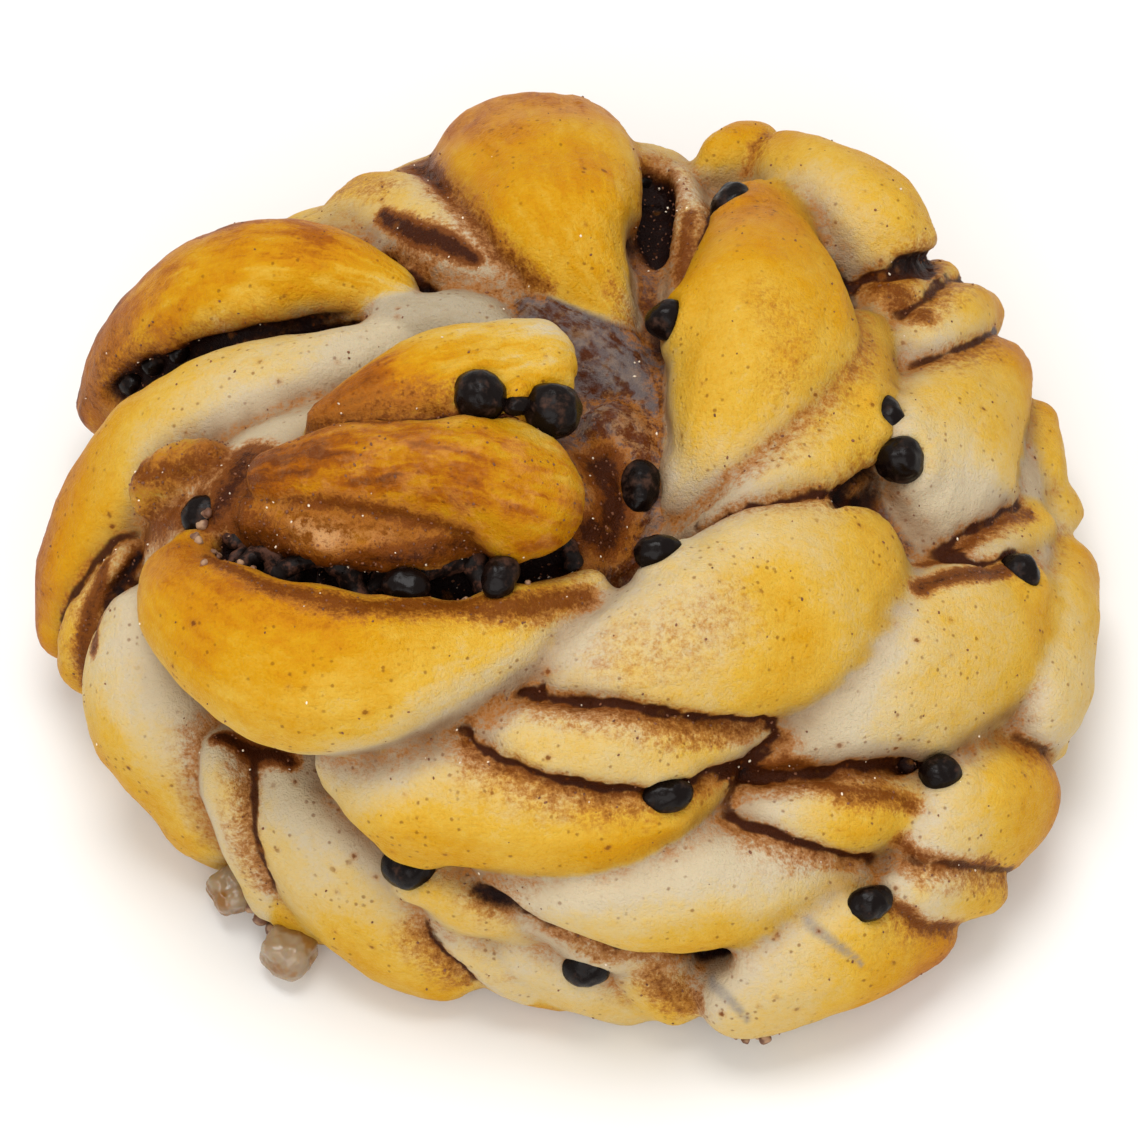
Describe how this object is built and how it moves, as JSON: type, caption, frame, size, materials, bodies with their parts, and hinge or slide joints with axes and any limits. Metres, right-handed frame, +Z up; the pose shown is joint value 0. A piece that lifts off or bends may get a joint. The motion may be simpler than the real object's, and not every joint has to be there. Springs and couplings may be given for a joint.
{
  "type": "chocolate bun",
  "caption": "Round knotted sweet bun of twisted, layered dough with dark filling lines and small chocolate pearls, resting on a flat underside.",
  "frame": {"origin": "on the flat underside, below the middle of the bun", "axes": "+Z up, out of the top of the bun; -Y towards the side that the picture looks at; +X to the right of the picture"},
  "size_m": [0.1042, 0.0994, 0.0491],
  "materials": {
    "crust": "satin"
  },
  "bodies": {
    "root": {"bun": "crust"}
  },
  "joints": []
}
